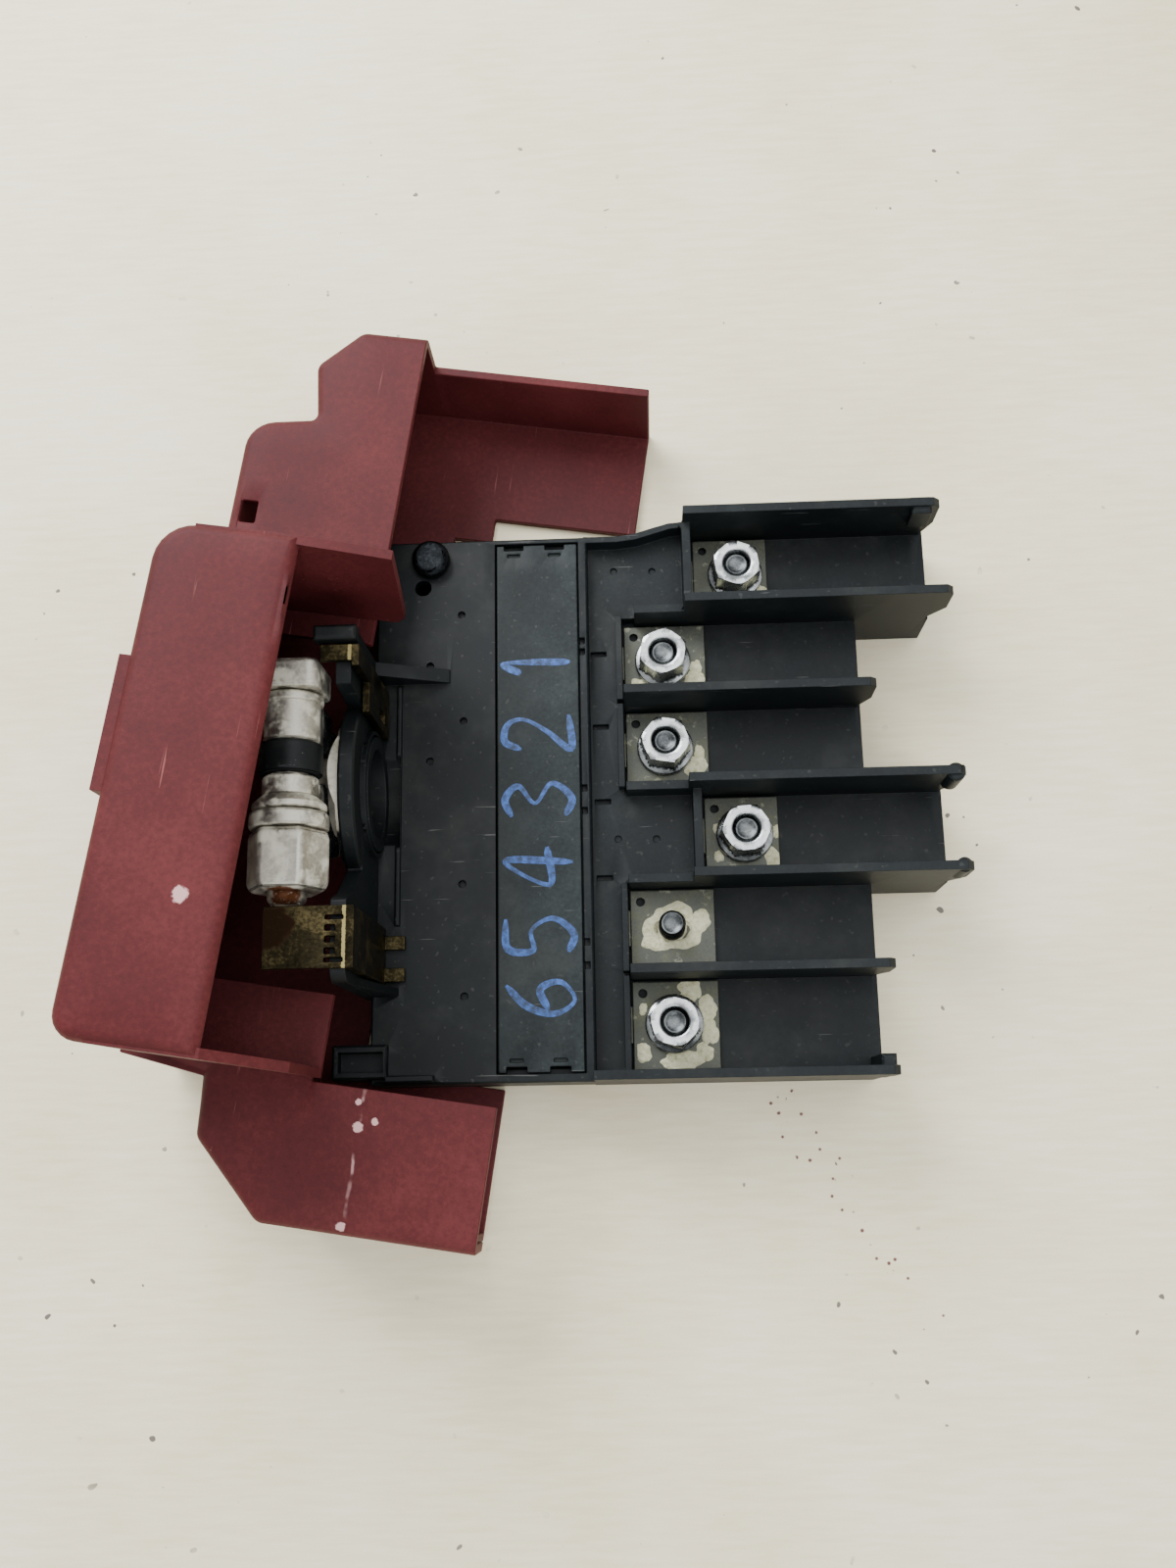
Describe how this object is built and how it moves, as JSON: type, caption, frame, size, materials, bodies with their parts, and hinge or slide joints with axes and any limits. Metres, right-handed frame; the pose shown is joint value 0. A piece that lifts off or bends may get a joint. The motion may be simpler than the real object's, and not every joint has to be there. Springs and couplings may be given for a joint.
{
  "type": "battery terminal fuse box",
  "caption": "Car battery terminal fuse box lying on its back: black base with open cable channels and threaded studs, post clamp at one end, and red covers that hinge and pull off.",
  "frame": {"origin": "on the flat underside of the base housing, below the middle of the stud row", "axes": "+X from the battery clamp to the cable ends, +Y along the row of studs, +Z out of the open face, away from the table the part lies on"},
  "size_m": [0.1824, 0.2055, 0.08],
  "materials": {
    "black_moulding": "black glass-filled nylon, dusty and scuffed",
    "black_strip": "black plastic, fine texture",
    "copper_row": "stamped copper alloy",
    "tin_plate": "dull tin plating with pale corrosion",
    "stud_steel": "rolled thread, dull",
    "zinc_nut": "bright zinc plating",
    "clamp_metal": "tin-plated casting, dull grey with white bloom and rust",
    "strap_brass": "tarnished brass",
    "red_moulding": "dark red polypropylene, fine matte grain"
  },
  "bodies": {
    "base": {"base_housing": "black_moulding", "busbar": "copper_row", "fuse_link_1": "copper_row", "fuse_link_2": "copper_row", "fuse_link_3": "copper_row", "fuse_link_4": "copper_row", "fuse_link_5": "copper_row", "fuse_link_6": "copper_row", "terminal_plate_1": "tin_plate", "terminal_plate_2": "tin_plate", "terminal_plate_3": "tin_plate", "terminal_plate_4": "tin_plate", "terminal_plate_5": "tin_plate", "terminal_plate_6": "tin_plate", "stud_1": "stud_steel", "stud_2": "stud_steel", "stud_3": "stud_steel", "stud_4": "stud_steel", "stud_5": "stud_steel", "stud_6": "stud_steel", "flange_nut_1": "zinc_nut", "flange_nut_2": "zinc_nut", "flange_nut_3": "zinc_nut", "flange_nut_4": "zinc_nut", "flange_nut_6": "zinc_nut", "clamp_ring": "clamp_metal", "clamp_bolt": "clamp_metal", "clamp_nut": "clamp_metal", "clamp_washer": "clamp_metal", "clamp_spacer": "black_strip", "post_washer": "clamp_metal", "post_grommet": "black_strip", "brass_strap_lower": "strap_brass", "brass_strap_upper": "strap_brass", "strap_cap": "black_moulding", "corner_rivet": "stud_steel"},
    "strip": {"fuse_cover_strip": "black_strip"},
    "hood": {"rear_cover": "red_moulding", "lid_hinge_pin": "stud_steel"},
    "lid": {"front_cover": "red_moulding"}
  },
  "joints": [
    {"name": "strip_lift", "type": "slide", "parent": "base", "child": "strip", "axis": [0, 0, 1], "range_m": [0, 0.015]},
    {"name": "hood_pull", "type": "slide", "parent": "base", "child": "hood", "axis": [-0.9877, 0.1564, 0], "range_m": [0, 0.04]},
    {"name": "lid_hinge", "type": "hinge", "parent": "hood", "child": "lid", "pos_m": [-0.1091, -0.00287, 0.0392], "axis": [-0.1564, -0.9877, 0], "range_deg": [0, 100]}
  ]
}
